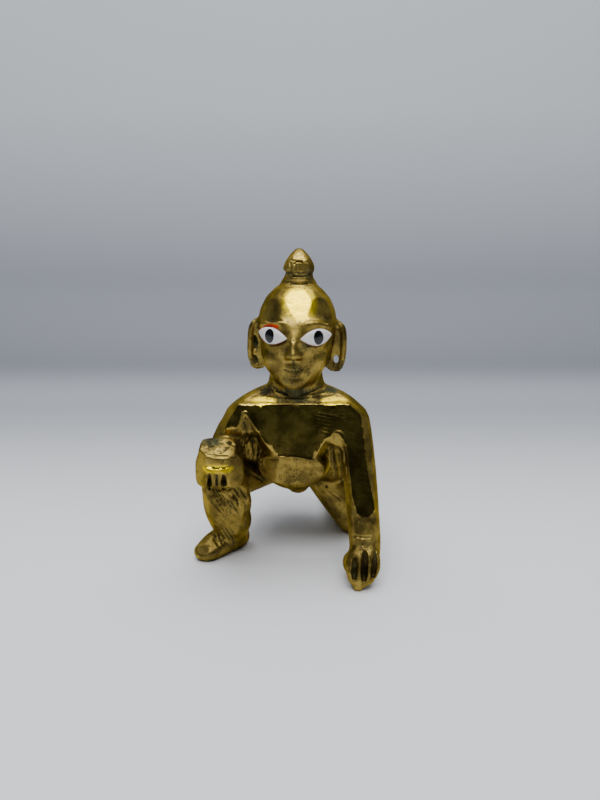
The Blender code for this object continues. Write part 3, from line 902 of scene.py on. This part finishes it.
# Stage: a pale paper sweep under two soft lamps, with a dark room in front
stage = {
    "paper": "E4E5E8",
    # painted shade on the paper: darker towards the back, and the standing part darker, darkest low down and lighter
    # towards the top
    "farPaperShade": "A2A6AC",
    "backdropShading": ((0.0, "7A7D86"), (0.09, "7A7D86"), (0.3, "9A9DA6"), (0.9, "C6CACF")),
    "backdropRise": 0.16,
    "sweepFront": -700,
    "sweepStart": 150,
    "sweepRound": 60,
    "sweepLean": 60,
    "sweepTop": 700,
    "sweepHalf": 0.8,
    "frontLamp": ((0, -0.35, 0.62), (0.48, 0.34), 3.7),
    "topLamp": ((0, 0.12, 0.68), (0.8, 0.5), 4.7),
    "skyColour": "B0BACE",
    "skyStrength": 0.29,
    "room": "343A36",
    "roomPlace": (0, -0.45, 0),
    "roomSize": (1.7, 0.66, 1),
    "roomGlow": "8C9880",
    "glowPlace": (-0.01, -0.45, 0.05),
    "glowReach": (0.004, 0.042),
}


def plainMaterial(name, colour, roughness):
    made = bpy.data.materials.new(name)
    made.use_nodes = True
    made.node_tree.nodes["Principled BSDF"].inputs["Base Color"].default_value = hexColour(colour)
    made.node_tree.nodes["Principled BSDF"].inputs["Roughness"].default_value = roughness
    return made


def paperSweep(s):
    # the floor runs back, rounds up and stands as the backdrop; extruded sideways from its profile
    radius, start = s["sweepRound"], s["sweepStart"]
    arc = [math.radians(a) for a in range(0, 91, 6)]
    profile = [(s["sweepFront"], 0)] + [(start + radius * math.sin(a), radius - radius * math.cos(a)) for a in arc]
    profile.append((start + radius + s["sweepLean"], s["sweepTop"]))
    verts = [(x, y * mm, z * mm) for x in (-s["sweepHalf"], s["sweepHalf"]) for y, z in profile]
    count = len(profile)
    faces = [(i, count + i, count + i + 1, i + 1) for i in range(count - 1)]
    mesh = bpy.data.meshes.new("paperSweep")
    mesh.from_pydata(verts, [], faces)
    mesh.shade_smooth()
    sweep = bpy.data.objects.new("paperSweep", mesh)
    bpy.context.scene.collection.objects.link(sweep)
    paper = plainMaterial("mattPaper", s["paper"], 0.65)
    tree = paper.node_tree
    place = addNode(tree, "SeparateXYZ", None, Vector=addNode(tree, "TexCoord").outputs["Object"])
    # painted shade: the standing paper darkest low down, lighter towards the top
    backdropShade = worked(tree, "MULTIPLY", place.outputs["Z"], 1 / s["backdropRise"])
    backdropShade = addNode(tree, "ValToRGB", None, Fac=backdropShade)
    ramp = backdropShade.color_ramp.elements
    for i, (position, colour) in enumerate(s["backdropShading"]):
        stop = ramp[i] if i < 2 else ramp.new(position)
        stop.position = position
        stop.color = hexColour(colour)
    # painted shade: the floor paper darkens towards the back
    farShade = ranged(tree, place.outputs["Y"], -0.02, 0.15)
    paperAndShade = blended(tree, farShade, s["paper"], s["farPaperShade"])
    # painted shade: the standing paper takes the darker ramp
    standing = ranged(tree, place.outputs["Z"], 0.0, 0.014)
    paperAndShade = blended(tree, standing, paperAndShade, backdropShade.outputs["Color"])
    tree.links.new(paperAndShade, tree.nodes["Principled BSDF"].inputs["Base Color"])
    mesh.materials.append(paper)


def areaLight(name, place, target, size, power):
    data = bpy.data.lights.new(name, "AREA")
    data.shape = "RECTANGLE"
    data.size, data.size_y = size
    data.energy = power
    lamp = bpy.data.objects.new(name, data)
    bpy.context.scene.collection.objects.link(lamp)
    lamp.location = place
    lamp.rotation_euler = (Vector(target) - Vector(place)).to_track_quat("-Z", "Y").to_euler()


def darkCard(s):
    # the dark room behind the camera, with the pale blur that the chest mirrors
    bpy.ops.mesh.primitive_plane_add(size=1, location=s["roomPlace"], rotation=(math.radians(90), 0, 0))
    card = bpy.context.active_object
    card.name = "darkRoom"
    card.scale = s["roomSize"]
    soloSelect(card)
    bpy.ops.object.transform_apply(location=True, rotation=True, scale=True)
    cloth = plainMaterial("darkRoomCloth", s["room"], 1.0)
    tree = cloth.node_tree
    where = addNode(tree, "TexCoord").outputs["Object"]
    squeezed = addNode(tree, "Mapping", None, Vector=where)
    squeezed.inputs["Scale"].default_value = (1.6, 1, 1)
    gap = addNode(tree, "VectorMath", {"operation": "DISTANCE"}, _0=squeezed.outputs[0], _1=s["glowPlace"])
    glow = ranged(tree, gap.outputs["Value"], *s["glowReach"], 1.0, 0.0)
    tree.links.new(blended(tree, glow, s["room"], s["roomGlow"]), tree.nodes["Principled BSDF"].inputs["Base Color"])
    card.data.materials.append(cloth)
    card.visible_camera = False


paperSweep(stage)
for lamp in ("frontLamp", "topLamp"):
    place, size, power = stage[lamp]
    areaLight(lamp, place, (0, 0, 0.04), size, power)
darkCard(stage)
world = bpy.data.worlds.new("studio")
world.use_nodes = True
world.node_tree.nodes["Background"].inputs["Color"].default_value = hexColour(stage["skyColour"])
world.node_tree.nodes["Background"].inputs["Strength"].default_value = stage["skyStrength"]
bpy.context.scene.world = world
print("stage set")
